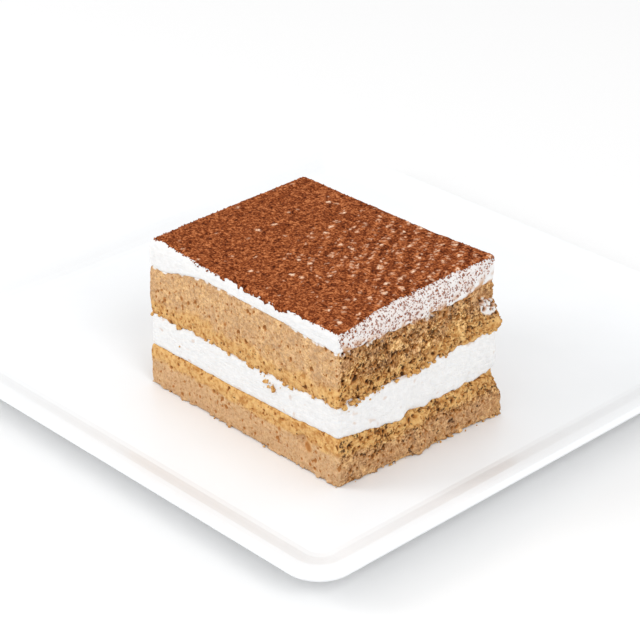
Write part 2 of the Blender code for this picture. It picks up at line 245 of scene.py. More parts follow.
def side_place(around, inset):
    """How far along the block and how deep into it a place round its outline is."""
    around = np.asarray(around) % 4
    side = np.floor(around).astype(int) % 4
    along = around - np.floor(around)
    in_u = inset / BLOCK_LENGTH
    in_v = inset / BLOCK_WIDTH
    u = np.choose(side, (along, np.ones_like(along), 1 - along, np.zeros_like(along)))
    v = np.choose(side, (np.zeros_like(along), along, np.ones_like(along), 1 - along))
    return np.stack([in_u + (1 - 2 * in_u) * u, in_v + (1 - 2 * in_v) * v], axis=-1)


def outline_place(around, inset):
    """The same with the outline's corners rounded."""
    near = 2 * CORNER_RADIUS / (BLOCK_LENGTH + BLOCK_WIDTH)
    corner = np.round(around)
    part = (0.5 + (around - corner) / (2 * near))[..., None]
    start, middle, end = (side_place(corner + shift, inset) for shift in (-near, 0, near))
    arc = (1 - part) ** 2 * start + 2 * part * (1 - part) * middle + part**2 * end
    return np.where(np.abs(around - corner)[..., None] < near, arc, side_place(around, inset))


def across_block(values, places):
    """The value at places across the block, between the values at its four corners."""
    u, v = places[..., 0], places[..., 1]
    shares = ((1 - u) * (1 - v), u * (1 - v), u * v, (1 - u) * v)
    return sum(share[..., None] * np.array(value, float) for share, value in zip(shares, values))


def block_points(places, height):
    """Points in the block, which leans a little."""
    height = np.broadcast_to(height, places.shape[:-1])
    foot = across_block(FOOT_CORNERS, places)
    crown = across_block(CROWN_CORNERS, places)
    flat = (foot + (crown - foot) * (height / BLOCK_HEIGHT)[..., None]) * MM
    return np.concatenate([flat, (WELL_HEIGHT + GAP + height)[..., None]], axis=-1)


def outline_points(around, height, inset):
    """Points round the block's rounded outline, at a height and an inset."""
    return block_points(outline_place(around, inset), height)


def tear_depth(points):
    """How far the dents and lumps near a point move it inwards."""
    depth = np.zeros(points.shape[:-1])
    for side, along, height, radius, depth_mm in TEARS:
        centre = block_points(side_place(side + along, 0.0), height * MM)
        reach = np.linalg.norm(points - centre, axis=-1) / (radius * MM)
        depth += depth_mm * MM * np.exp(-reach * reach)
    return depth


def crumb_depth(points):
    """How deep the larger waves of a cut side lie."""
    coarse, fine = (noise_at(points, size) for size in CRUMB_SIZES)
    return CRUMB_RELIEF * (coarse + 0.8 * fine)


def cut_between(heights, tear, seed, fine_share):
    """The height of a torn cut between two layers: level in the core, uneven at the sides."""
    core = sum(heights) / len(heights)

    def cut_height(around, inset):
        place = block_points(side_place(around, 0.0), 0.0)
        coarse = place / TEAR_LENGTH
        coarse[..., 2] = seed
        edge = round_block(heights, around)
        torn = round_block(tear, around)
        fine = sum(share * noise_at(place, size, seed) for size, share in FINE_TEARS)
        stray = torn * (noise_at(coarse, 1.0) + fine_share * fine)
        edge = edge + stray * np.maximum(0, 1 - inset / FLAT_INSET)
        return eased(edge, core, (inset - FLAT_INSET) / (CORE_INSET - FLAT_INSET)) * MM

    return cut_height


LOWER_CUT = cut_between(LOWER_SPONGE_TOP, SMOOTH_TEAR, 11.3, 0.6)
MIDDLE_CUT = cut_between(MIDDLE_CREAM_TOP, RAGGED_TEAR, 23.7, 1.0)
UPPER_CUT = cut_between(UPPER_SPONGE_TOP, CREAM_TEAR, 41.9, 0.9)


def base_height(around, inset):
    """The block's flat foot."""
    return np.zeros_like(np.asarray(around, float))


def crown_height(places):
    """The top of the cocoa, which falls away over the shoulder at each side."""
    u, v = places[..., 0], places[..., 1]
    level = across_block([(height,) for height in CROWN_HEIGHTS], places)[..., 0] * MM
    sides = (
        (u, v * BLOCK_WIDTH),
        (v, (1 - u) * BLOCK_LENGTH),
        (1 - u, (1 - v) * BLOCK_WIDTH),
        (1 - v, u * BLOCK_LENGTH),
    )
    total = np.zeros_like(u)
    drop = np.zeros_like(u)
    for side, (along, distance) in enumerate(sides):
        around = side + np.clip(along, 0, ALMOST_ONE)
        out = np.maximum(0, 1 - distance / (round_block(SHOULDER_WIDTH, around) * MM)) ** 2
        total += out
        drop += out * round_block(SHOULDER_DROP, around) * MM
    share = drop / np.maximum(total, 1e-9)
    return level - share * (1 - np.sqrt(1 - np.minimum(1, total)))


def ridge(points):
    """The soft ridges that the sieved cocoa shows."""
    across = points @ RIDGE_ACROSS / RIDGE_PITCH
    wander = noise_at(points, 9 * MM)
    return RIDGE_HEIGHT * (np.sin(2 * pi * (across + 0.5 * wander)) + noise_at(points, 3.5 * MM))


# Meshes


def places_round():
    """Places round the block, one mesh step apart."""
    steps = []
    for side, length in enumerate((BLOCK_LENGTH, BLOCK_WIDTH, BLOCK_LENGTH, BLOCK_WIDTH)):
        count = round(length / MESH_STEP)
        steps.append(side + np.arange(count) / count)
    return np.concatenate(steps)


AROUND = places_round()


def quads_between(rings, columns, closed=True):
    """Faces of a grid of rings by columns of points."""
    wide = columns if closed else columns - 1
    ring = np.arange(rings - 1)[:, None] * columns
    here = np.arange(wide)[None, :]
    there = (here + 1) % columns
    corners = (ring + here, ring + there, ring + columns + there, ring + columns + here)
    return np.stack([corner.reshape(-1) for corner in corners], axis=-1).tolist()


def new_piece(name, points, faces, material, notes):
    """A smooth mesh object with its notes, numbers kept on each point for the material."""
    mesh = bpy.data.meshes.new(name)
    mesh.from_pydata(points.tolist(), [], faces)
    for note, values in notes.items():
        layer = mesh.attributes.new(note, "FLOAT", "POINT")
        layer.data.foreach_set("value", np.asarray(values, np.float32))
    mesh.materials.append(material)
    mesh.validate()
    mesh.shade_smooth()
    made = bpy.data.objects.new(name, mesh)
    bpy.context.scene.collection.objects.link(made)
    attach(made, BODY)
    return made


def body_from_rings(name, rings, material, notes):
    """One closed body from rings of points, with a fan in each end and the notes of each ring."""
    rings = np.asarray(rings)
    count, columns = rings.shape[:2]
    points = rings.reshape(-1, 3)
    ends = np.stack([rings[0].mean(axis=0), rings[-1].mean(axis=0)])
    faces = quads_between(count, columns)
    bottom, top = len(points), len(points) + 1
    last = (count - 1) * columns
    for i in range(columns):
        j = (i + 1) % columns
        faces.append((j, i, bottom))
        faces.append((last + i, last + j, top))
    notes = {note: np.append(values.reshape(-1), (0, 0)) for note, values in notes.items()}
    return new_piece(name, np.concatenate([points, ends]), faces, material, notes)


# Materials


def material(name):
    """A new material, its node tree and its shader."""
    made = bpy.data.materials.new(name)
    made.use_nodes = True
    return made, made.node_tree, made.node_tree.nodes["Principled BSDF"]


def node(tree, kind, values=None, **settings):
    """A shader node, with its settings and the values or links of its inputs."""
    made = tree.nodes.new(kind)
    for setting, value in settings.items():
        setattr(made, setting, value)
    for name, value in (values or {}).items():
        if isinstance(value, bpy.types.NodeSocket):
            tree.links.new(value, made.inputs[name])
        else:
            made.inputs[name].default_value = value
    return made


def note_of(tree, name):
    """A number kept on the mesh's points."""
    return node(tree, "ShaderNodeAttribute", attribute_name=name).outputs["Fac"]


def place_of(tree, seed=0.0, stretch=(1, 1, 1)):
    """Places on the object, moved by a seed or stretched."""
    place = node(tree, "ShaderNodeTexCoord").outputs["Object"]
    values = {"Vector": place, "Location": (seed, seed, seed), "Scale": stretch}
    return node(tree, "ShaderNodeMapping", values).outputs["Vector"]


def vectors(tree, operation, values):
    return node(tree, "ShaderNodeVectorMath", values, operation=operation).outputs["Vector"]


def noise_node(tree, place, scale, detail, rough):
    values = {"Vector": place, "Scale": scale, "Detail": detail, "Roughness": rough}
    return node(tree, "ShaderNodeTexNoise", values).outputs["Fac"]


def speckle(tree, size, detail=2.0, rough=0.6, seed=0.0):
    """Noise of a size in metres, around a half."""
    return noise_node(tree, place_of(tree, seed), 1 / size, detail, rough)


def dots(tree, size, near, far, seed, bent):
    """Scattered dots, one to a cell of a size in metres and bent out of shape by a part of it, and
    a random number for each cell."""
    moved = place_of(tree, seed)
    values = {"Vector": moved, "Scale": 1.3 / size}
    wander = node(tree, "ShaderNodeTexNoise", values).outputs["Color"]
    turn = vectors(tree, "SCALE", {0: wander, 3: 2 * bent * size})
    moved = vectors(tree, "ADD", {0: moved, 1: turn})
    cells = node(tree, "ShaderNodeTexVoronoi", {"Vector": moved, "Scale": 1 / size})
    number = node(tree, "ShaderNodeSeparateColor", {"Color": cells.outputs["Color"]}).outputs["Red"]
    return stepped(tree, cells.outputs["Distance"], far, near), number


def ramp(tree, factor, *stops):
    """A colour ramp from its stops, each a place and a colour."""
    made = node(tree, "ShaderNodeValToRGB", {"Fac": factor})
    elements = made.color_ramp.elements
    while len(elements) < len(stops):
        elements.new(0.5)
    for element, (place, colour) in zip(elements, stops):
        element.position = place
        element.color = (*colour, 1)
    return made.outputs["Color"]


def stepped(tree, factor, low, high, result=1.0):
    """A smooth step of a number, from nought at low to the result at high."""
    values = {"Value": factor, "From Min": low, "From Max": high, "To Min": 0.0, "To Max": result}
    made = node(tree, "ShaderNodeMapRange", values, interpolation_type="SMOOTHSTEP")
    return made.outputs["Result"]


def maths(tree, operation, first, second):
    return node(tree, "ShaderNodeMath", {0: first, 1: second}, operation=operation).outputs[0]


def times(tree, first, second):
    return maths(tree, "MULTIPLY", first, second)


def plus(tree, first, second):
    return maths(tree, "ADD", first, second)


def blend(tree, factor, first, second):
    """The first colour, or the second one where the factor is one."""
    made = node(tree, "ShaderNodeMix", data_type="RGBA")
    for place, value in ((0, factor), (6, first), (7, second)):
        if isinstance(value, bpy.types.NodeSocket):
            tree.links.new(value, made.inputs[place])
        elif isinstance(value, tuple):
            made.inputs[place].default_value = (*value, 1)
        else:
            made.inputs[place].default_value = value
    return made.outputs[2]


def bump(tree, height, distance):
    values = {"Height": height, "Distance": distance, "Strength": 1.0}
    return node(tree, "ShaderNodeBump", values).outputs["Normal"]


def finish_material(tree, shader, colour, normal, roughness, specular):
    """Links a shader's colour and normal and sets its even values."""
    tree.links.new(colour, shader.inputs["Base Color"])
    tree.links.new(normal, shader.inputs["Normal"])
    shader.inputs["Roughness"].default_value = roughness
    shader.inputs["Specular IOR Level"].default_value = specular


def soften(shader, weight, radius, scale):
    """A little light scattered under the surface."""
    shader.inputs["Subsurface Weight"].default_value = weight
    shader.inputs["Subsurface Radius"].default_value = radius
    shader.inputs["Subsurface Scale"].default_value = scale


def sponge_material():
    """Tan crumb: pale and close where cut clean, golden and full of holes where it is open, with
    painted shade in its holes and crevices.
    """
    made, tree, shader = material("sponge_crumb")
    open_crumb = note_of(tree, "open")
    coarse = speckle(tree, 1.5 * MM, 6.0, 0.62, seed=3.1)
    fine = speckle(tree, 0.55 * MM, 3.0, seed=6.6)
    mixed = plus(tree, times(tree, coarse, 0.55), times(tree, fine, 0.45))
    patch = speckle(tree, 6 * MM, 2.0, 0.5, seed=5.2)
    clean = ramp(
        tree, speckle(tree, 0.8 * MM, 4.0, 0.65),
        (0.36, (0.45, 0.235, 0.09)), (0.46, (0.58, 0.355, 0.18)), (0.60, (0.66, 0.435, 0.245)),
    )
    # Open crumb: partly its own uneven tone, partly painted shade in the hollows and painted light
    # on the lumps, as the same noise shapes the bump
    torn = ramp(
        tree, mixed,
        (0.41, (0.13, 0.05, 0.012)), (0.46, (0.36, 0.18, 0.058)),
        (0.52, (0.60, 0.34, 0.13)), (0.58, (0.92, 0.63, 0.32)),
    )
    warm = ramp(tree, patch, (0.40, (0.80, 0.72, 0.70)), (0.60, (1.12, 1.10, 1.0)))
    torn = vectors(tree, "MULTIPLY", {0: torn, 1: warm})
    colour = blend(tree, open_crumb, clean, torn)
    golden = ramp(
        tree, coarse,
        (0.38, (0.46, 0.20, 0.045)), (0.50, (0.64, 0.36, 0.125)), (0.62, (0.72, 0.44, 0.165)),
    )
    colour = blend(tree, times(tree, note_of(tree, "gold"), 0.85), colour, golden)
    soaked = ramp(
        tree, mixed,
        (0.42, (0.36, 0.18, 0.075)), (0.52, (0.50, 0.275, 0.13)), (0.60, (0.64, 0.39, 0.20)),
    )
    colour = blend(tree, times(tree, note_of(tree, "soak"), 0.85), colour, soaked)
    # Painted shade in small pores: brown dots, sunk in the bump as well
    holes = 0.0
    kinds = ((2.1 * MM, 0.08, 0.24, 0.35, 1.2), (1.0 * MM, 0.10, 0.30, 0.22, 0.0))
    for size, near, far, share, seed in kinds:
        spots, chosen = dots(tree, size, near, far, seed, 0.4)
        likely = plus(tree, times(tree, open_crumb, 0.3), share)
        spots = times(tree, spots, maths(tree, "LESS_THAN", chosen, likely))
        colour = blend(tree, times(tree, spots, 0.85), colour, (0.40, 0.14, 0.028))
        holes = plus(tree, times(tree, spots, 0.3), holes)
    smear = note_of(tree, "smear")
    colour = blend(tree, smear, colour, (0.78, 0.75, 0.72))
    # Painted shade in the pits of the open crumb: near-black dots, sunk in the bump as well, fewer
    # where cream is smeared
    some = stepped(tree, speckle(tree, 5 * MM, 2.0, seed=7.9), 0.35, 0.60)
    often = times(tree, stepped(tree, open_crumb, 0.45, 1.0), some)
    often = times(tree, often, maths(tree, "SUBTRACT", 1.0, times(tree, smear, 0.75)))
    kinds = (
        (2.8 * MM, 0.12, 0.28, 0.75, 4.7), (1.6 * MM, 0.14, 0.34, 0.8, 8.3),
        (0.95 * MM, 0.14, 0.36, 0.7, 2.6),
    )
    for size, near, far, share, seed in kinds:
        pits, chosen = dots(tree, size, near, far, seed, 0.8)
        likely = times(tree, often, share)
        pits = times(tree, pits, maths(tree, "LESS_THAN", chosen, likely))
        colour = blend(tree, times(tree, pits, 0.9), colour, (0.075, 0.026, 0.007))
        holes = plus(tree, times(tree, pits, 0.8), holes)
    # Painted shade in the pores and crevices: brown where it is faint, near black deep in the open
    # crumb
    pore_shade = note_of(tree, "pore_shade")
    colour = blend(tree, stepped(tree, pore_shade, 0.05, 0.6, 0.85), colour, (0.44, 0.165, 0.032))
    deep = stepped(tree, pore_shade, 0.4, 0.95)
    deep = times(tree, deep, plus(tree, times(tree, open_crumb, 0.75), 0.15))
    colour = blend(tree, deep, colour, (0.03, 0.009, 0.002))
    rough = plus(tree, times(tree, open_crumb, 0.85), 0.2)
    height = maths(tree, "SUBTRACT", times(tree, coarse, rough), holes)
    finish_material(tree, shader, colour, bump(tree, height, 0.6 * MM), 0.85, 0.25)
    soften(shader, 0.1, (1.0, 0.5, 0.25), 0.6 * MM)
    return made


def cream_material():
    """White whipped cream with faint strokes and pits, dusted with grains of cocoa in places."""
    made, tree, shader = material("cream_soft")
    white = speckle(tree, 1.6 * MM, 3.0)
    colour = ramp(tree, white, (0.35, (0.74, 0.735, 0.73)), (0.65, (0.80, 0.795, 0.79)))
    colour = blend(tree, note_of(tree, "stain"), colour, (0.52, 0.28, 0.13))
    dust = note_of(tree, "dust")
    colour = blend(tree, times(tree, dust, 0.22), colour, (0.64, 0.38, 0.26))
    kinds = (
        (1.5 * MM, 0.0, (0.20, 0.055, 0.020)), (1.0 * MM, 3.3, (0.32, 0.11, 0.05)),
        (0.7 * MM, 7.1, (0.22, 0.065, 0.025)),
    )
    for size, seed, tint in kinds:
        grains, chosen = dots(tree, size, 0.20, 0.40, seed, 0.4)
        grains = times(tree, grains, maths(tree, "LESS_THAN", chosen, dust))
        colour = blend(tree, times(tree, grains, 0.9), colour, tint)
    strokes = noise_node(tree, place_of(tree, stretch=(1, 1, 5)), 260, 4, 0.6)
    height = plus(tree, strokes, times(tree, speckle(tree, 1.0 * MM, 3.0, seed=4.2), 0.4))
    finish_material(tree, shader, colour, bump(tree, height, 0.3 * MM), 0.6, 0.3)
    soften(shader, 0.3, (1.0, 0.9, 0.8), 0.5 * MM)
    return made


def cocoa_material():
    """Damp cocoa powder: red-brown grain with pale flecks. Its colour is partly its own uneven
    tone, partly painted shade in the gaps between grains and painted light on their orange tops.
    """
    made, tree, shader = material("cocoa_dust")
    fine = speckle(tree, 0.7 * MM, 3.0, 0.7, seed=2.0)
    # Painted shade and light: the same fine noise darkens the colour where it lowers the bump and
    # brightens it where it raises it
    tone_and_shade = plus(tree, times(tree, note_of(tree, "tone_and_shade"), 0.2), times(tree, fine, 0.8))
    colour = ramp(
        tree, tone_and_shade,
        (0.35, (0.055, 0.010, 0.003)), (0.45, (0.18, 0.039, 0.011)),
        (0.53, (0.33, 0.085, 0.024)), (0.64, (0.64, 0.23, 0.085)),
    )
    pale = ramp(
        tree, fine,
        (0.37, (0.56, 0.20, 0.09)), (0.48, (0.88, 0.50, 0.30)), (0.58, (0.95, 0.74, 0.56)),
    )
    colour = blend(tree, note_of(tree, "fleck"), colour, pale)
    finish_material(tree, shader, colour, bump(tree, fine, 0.7 * MM), 1.0, 0.05)
    return made


def glaze_material():
    """White glazed porcelain, a little uneven as fired glaze is."""
    made, tree, shader = material("porcelain_glaze")
    white = speckle(tree, 30 * MM, 2.0)
    colour = ramp(tree, white, (0.3, (0.83, 0.845, 0.86)), (0.7, (0.85, 0.865, 0.88)))
    height = speckle(tree, 14 * MM, 1.0, seed=9.0)
    finish_material(tree, shader, colour, bump(tree, height, 0.05 * MM), 0.30, 0.35)
    return made


# Cake


def unrolled(around, height):
    """The side's outline rolled out flat: how far round a place is, and how high."""
    ends = np.cumsum([0, BLOCK_LENGTH, BLOCK_WIDTH, BLOCK_LENGTH, BLOCK_WIDTH])
    return np.stack([np.interp(around, np.arange(5), ends), height], axis=-1)


def open_share(around, points):
    """How open the crumb is on each side, with an uneven change at the corners."""
    around = (around - 0.03 + 0.012 * noise_at(points, 3 * MM, 2.2)) % 4
    side = np.floor(around).astype(int) % 4
    values = np.array(OPEN_SIDES)
    return eased(values[side], values[(side + 1) % 4], (around % 1 - 0.965) / 0.03)


def grain(points, flat, crumb):
    """Fine crumb of a sponge's side: how deep each point lies, and how much painted shade its pores
    and crevices get.
    """
    waves = sum(np.abs(noise_at(points, size, 2.5)) for size in GRAIN_SIZES)
    rough = np.clip((crumb - 0.3) / 0.7, 0, 1)
    depth = GRAIN_RELIEF * (0.25 + 0.75 * rough) * waves
    patch = noise_at(points, 3.0 * MM, 5.5)
    near, border, number = cells_at(flat, CRUMB_SPACING, 4.4)
    crevice = rough * eased(1.0, 0.0, border / (0.10 + 0.30 * number))
    crevice = crevice * eased(0.0, 1.0, 0.4 + 1.6 * patch)
    depth += CREVICE_DEPTH * crevice
    # Painted shade: the crevices, and below them the pores, get a darker colour where shade falls
    # in them
    pore_and_crevice_shade = 0.8 * crevice
    bent = flat + 0.3 * MM * noise_at(points, 0.8 * MM, 6.6)[..., None]
    for spacing, close_share, torn_share, radius, deep, shade in PORE_KINDS:
        near, border, number = cells_at(bent, spacing, spacing / MM)
        most = close_share + (torn_share - close_share) * rough + 0.2 * patch
        wide = radius * (1.0 + 1.2 * number / np.maximum(most, 0.1))
        pore_shade = np.where(number < most, eased(1.0, 0.0, near / wide - 0.4), 0.0)
        depth += deep * (0.4 + 0.6 * rough) * pore_shade
        pore_and_crevice_shade = np.maximum(pore_and_crevice_shade, shade * pore_shade)
    return depth, pore_and_crevice_shade


def spill(points, height):
    """Crumb that sticks out at the very foot."""
    waves = noise_at(points, 1.8 * MM, 3.9) + 0.5 * noise_at(points, 0.8 * MM, 4.9)
    out = np.minimum(SPILL_OUT * np.maximum(0, waves - 0.1), SPILL_MOST)
    return out * eased(1.0, 0.0, height / SPILL_HEIGHT)


def wall(low, high, relief, set_back, grained, foot=1.0):
    """Rings up a layer's side with its crumb, dents, pores and slightly rounded edges. With them
    come, for each point, the part of the height, how open the crumb is, the painted shade of its
    pores and crevices and the place before the relief."""
    tall = float(np.mean(high(AROUND, 0.0) - low(AROUND, 0.0)))
    rows = round(tall / MESH_STEP)
    part = (np.arange(rows + 1) / rows)[:, None]
    around = np.broadcast_to(AROUND, (rows + 1, len(AROUND)))
    height = low(AROUND, 0.0) + (high(AROUND, 0.0) - low(AROUND, 0.0)) * part
    points = outline_points(around, height, 0.0)
    depth = set_back + EDGE_ROUND * np.abs(2 * part - 1) ** 8 + tear_depth(points)
    depth = depth + relief * round_block(CRUMB_SHARE, around) * crumb_depth(points)
    crumb = open_share(around, points) * eased(foot, 1.0, (part - 0.35) / 0.25)
    pore_shade = np.zeros_like(depth)
    if grained:
        fine, pore_shade = grain(points, unrolled(around, height), crumb)
        depth = depth + fine - spill(points, height)
    else:
        depth = depth + STROKE_RELIEF * np.abs(noise_at(points * (1, 1, 4), STROKE_SIZE, 6.0))
    return outline_points(around, height, depth), part + 0 * depth, crumb, pore_shade, points


def between_flats(low, high, rings):
    """The rings with one more a little way in under them and one over them."""
    flats = [outline_points(AROUND, cut(AROUND, FLAT_INSET), FLAT_INSET) for cut in (low, high)]
    return np.concatenate([flats[:1], rings, flats[1:]])


def with_ends(values):
    """The first and the last row once more, for the rings that lie further in."""
    return np.concatenate([values[:1], values, values[-1:]])


def make_sponge(name, node_name, low, high, colouring, material_made, foot=1.0):
    """A sponge's side with its crumb. The foot says how open its lower part is."""
    rings, part, crumb, pore_shade, points = wall(low, high, 1.0, 0.0, True, foot)
    # Painted shade in the listed deep holes, over that of the pores and crevices
    pore_shade = np.maximum(pore_shade, patches(points, HOLE_SHADE_PATCHES))
    notes = {"pore_shade": pore_shade, **colouring(part, crumb, points)}
    notes = {note: with_ends(values) for note, values in notes.items()}
    rings = between_flats(low, high, rings)
    made = body_from_rings(name, rings, material_made, notes)
    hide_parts(node_name)
    return made


def patches(points, spots):
    """The strength of soft round patches at each point."""
    total = np.zeros(points.shape[:-1])
    for around, height, wide, amount in spots:
        centre = block_points(side_place(around, 0.0), height * MM)
        reach = np.linalg.norm(points - centre, axis=-1) / (wide * MM)
        total += amount * np.exp(-reach * reach)
    return total


def sponge_notes(gold, open_crumb, soak, smear):
    return {
        "gold": np.clip(gold, 0, 1.3), "open": np.clip(open_crumb, 0, 1),
        "soak": np.clip(soak, 0, 1), "smear": smear,
    }


def colour_upper(part, crumb, points):
    """Golden and more open at its foot, soaked and smeared with cream high on the open side."""
    wander = noise_at(points, 4 * MM, 1.0)
    foot = eased(1.0, 0.0, (part - 0.2 + 0.2 * wander) / 0.25)
    gold = foot + patches(points, ORANGE_PATCHES)
    rough = np.clip((crumb - 0.5) / 0.5, 0, 1)
    soak = rough * eased(0.0, 0.7, (part - 0.5 + 0.3 * wander) / 0.25)
    soak = soak * (0.7 + 0.6 * noise_at(points, 3 * MM, 8.0))
    smear = patches(points, CREAM_PATCHES)
    high = eased(0.0, 1.0, (part - 0.80) / 0.16) * (0.35 + 1.3 * noise_at(points, 5 * MM, 6.0))
    smear += eased(0.0, 1.0, (crumb - 0.5) / 0.3) * high
    seam = eased(0.0, 1.0, (part - 0.93) / 0.06) * (0.45 + 1.2 * noise_at(points, 2.5 * MM, 6.5))
    smear += (1 - rough) * seam
    smear = eased(0.0, 1.0, 2 * smear + 1.2 * noise_at(points, 1.2 * MM, 3.0) - 1.1)
    return sponge_notes(gold, crumb + 0.25 * foot, soak, smear)


def colour_lower(part, crumb, points):
    """A golden crust along its top, and below it close crumb on the clean side, soaked if open."""
    wander = noise_at(points, 4 * MM, 1.0)
    top = eased(0.0, 1.0, (part - 0.60 + 0.08 * wander) / 0.12)
    gold = 1.05 * top + eased(0.0, 0.2, (part - 0.93) / 0.05)
    gold = gold + patches(points, ORANGE_PATCHES)
    rough = np.clip((crumb - 0.3) / 0.35, 0, 1)
    soak = rough * eased(0.0, 0.9, part / 0.15)
    soak = soak * eased(1.0, 0.0, (part - 0.5 + 0.15 * wander) / 0.2)
    soak = soak * (0.8 + 0.5 * noise_at(points, 3 * MM, 8.0))
    soak = np.where(crumb < 0.3, 0.35 * (1 - top), soak)
    close = np.where(crumb < 0.5, crumb * (0.35 + 1.1 * top), crumb)
    return sponge_notes(gold, close, soak, 0 * part)


def make_middle_cream(low, high, cream):
    """The middle cream, with faint stains of crumb along its top and here and there."""
    rings, part, crumb, pore_shade, points = wall(low, high, 0.45, CREAM_SET_BACK, False)
    stain = eased(0.0, 0.5, (part - 0.9) / 0.1)
    stain = stain * eased(0.0, 1.0, 2 * noise_at(points, 1.5 * MM, 7.0))
    stain = np.maximum(stain, eased(0.0, 0.35, 4 * noise_at(points, 1.8 * MM, 9.0) - 2.0))
    rings = between_flats(low, high, rings)
    notes = {"stain": with_ends(stain), "dust": np.zeros(rings.shape[:2])}
    made = body_from_rings("cream_middle_soft", rings, cream, notes)
    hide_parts("cream_middle")
    return made


def make_top_cream(low, cream):
    """The top cream's side, and its shoulder up to a little way under the cocoa."""

    def high(around, inset):
        lowered = eased(0.25, 1.0, (inset / MM - round_block(COCOA_INSET, around) - 0.4) / 1.2) * MM
        return crown_height(outline_place(around, inset)) - lowered

    rings, part, crumb, pore_shade, points = wall(low, high, 0.5, 0.0, False)
    flat = [outline_points(AROUND, low(AROUND, FLAT_INSET), FLAT_INSET)]
    insets = np.arange(1, SHOULDER_STEPS + 1) * MESH_STEP
    shoulder = [outline_points(AROUND, high(AROUND, inset), inset) for inset in insets]
    rough = np.clip((crumb - 0.5) / 0.5, 0, 1)
    patch = 0.9 * noise_at(points, 4 * MM, 5.0) - 1.5 * np.clip(AROUND - RIGHT - 0.55, 0, 1)
    dust = rough * np.clip(0.52 + 0.5 * part + patch, 0, 0.95)
    over = rough[0] * np.clip(0.8 + patch[-1], 0, 0.9)
    over = np.broadcast_to(over, (SHOULDER_STEPS, len(AROUND)))
    dust = np.concatenate([dust[:1], dust[:-1], over])
    stain = rough * eased(1.0, 0.0, (part - 0.1) / 0.5)
    stain = stain * eased(0.0, 0.95, 0.6 + 3 * noise_at(points, 2.2 * MM, 7.7))
    stain = np.concatenate([stain[:1], stain[:-1], 0 * over])
    rings = np.concatenate([flat, rings[:-1], shoulder])
    notes = {"stain": stain, "dust": dust}
    made = body_from_rings("cream_top_soft", rings, cream, notes)
    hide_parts("cream_top")
    return made


def cocoa_edge(around):
    """How far in from each side the cocoa stops. Below nought it hangs over the edge."""
    place = block_points(side_place(around, 0.0), 0.0)
    fine = 0.22 * noise_at(place, 1.4 * MM, 4.0) + 0.12 * noise_at(place, 0.7 * MM, 5.0)
    inset = (round_block(COCOA_INSET, around) + fine) * MM
    return inset + COCOA_WOBBLE * noise_at(place, TEAR_LENGTH)


def make_cocoa(dust, ceiling):
    """The skin of cocoa: a grid over the crown inside its ragged edge, and a skirt in the cream."""
    across = round(BLOCK_LENGTH / MESH_STEP)
    deep = round(BLOCK_WIDTH / MESH_STEP)
    s = np.broadcast_to(np.arange(across + 1) / across, (deep + 1, across + 1))
    t = np.broadcast_to((np.arange(deep + 1) / deep)[:, None], (deep + 1, across + 1))
    front = cocoa_edge(FRONT + s[0] * ALMOST_ONE) / BLOCK_WIDTH
    right = cocoa_edge(RIGHT + t[:, 0] * ALMOST_ONE)[:, None] / BLOCK_LENGTH
    back = cocoa_edge(BACK + (1 - s[0]) * ALMOST_ONE) / BLOCK_WIDTH
    left = cocoa_edge(LEFT + (1 - t[:, 0]) * ALMOST_ONE)[:, None] / BLOCK_LENGTH
    u = left * (1 - s) + (1 - right) * s
    v = front * (1 - t) + (1 - back) * t
    hang = np.minimum(u * BLOCK_LENGTH, 0) + np.minimum((1 - u) * BLOCK_LENGTH, 0)
    hang = hang + np.minimum(v * BLOCK_WIDTH, 0) + np.minimum((1 - v) * BLOCK_WIDTH, 0)
    places = np.stack([np.clip(u, 0, 1), np.clip(v, 0, 1)], axis=-1)
    points = block_points(places, crown_height(places))
    rim = np.minimum(np.minimum(s, 1 - s) * BLOCK_LENGTH, np.minimum(t, 1 - t) * BLOCK_WIDTH)
    inner = eased(0.0, 1.0, rim / (2 * MM))
    coarse, fine = COCOA_GRAIN_SIZES
    waves = noise_at(points, coarse, 3.3) + 0.8 * noise_at(points, fine, 1.9)
    flecks, rows_here = cocoa_flecks(points)
    raised = ridge(points) * inner + COCOA_GRAIN_RELIEF * (waves + flecks)
    raised = np.minimum(raised, COCOA_RELIEF_MOST)
    thin = eased(-0.15, 0.0, rim / (1.2 * MM)) * MM
    points[..., 2] = np.minimum(points[..., 2] + raised + thin + hang, ceiling)
    # Painted shade where the grain's relief is low and painted light where it is high, with the
    # rows' own tone
    tone_and_shade = np.clip(0.5 + 0.5 * waves + rows_here, 0, 1)
    rows, columns = points.shape[:2]
    faces = quads_between(rows, columns, closed=False)
    index = np.arange(rows * columns).reshape(rows, columns)
    border = np.concatenate([index[0, :-1], index[:-1, -1], index[-1, :0:-1], index[:0:-1, 0]])
    points = points.reshape(-1, 3)
    count = len(points)
    under = points[border] - np.array((0, 0, COCOA_THICK))
    middle = under.mean(axis=0)[None]
    for i, here in enumerate(border.tolist()):
        j = (i + 1) % len(border)
        faces.append((int(border[j]), here, count + i, count + j))
        faces.append((count + j, count + i, count + len(border)))
    extra = np.zeros(len(border) + 1)
    notes = {"fleck": np.append(flecks, extra), "tone_and_shade": np.append(tone_and_shade, extra + 0.5)}
    points = np.concatenate([points, under, middle])
    made = new_piece("cocoa_skin", points, faces, dust, notes)
    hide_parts("cocoa")
    return made


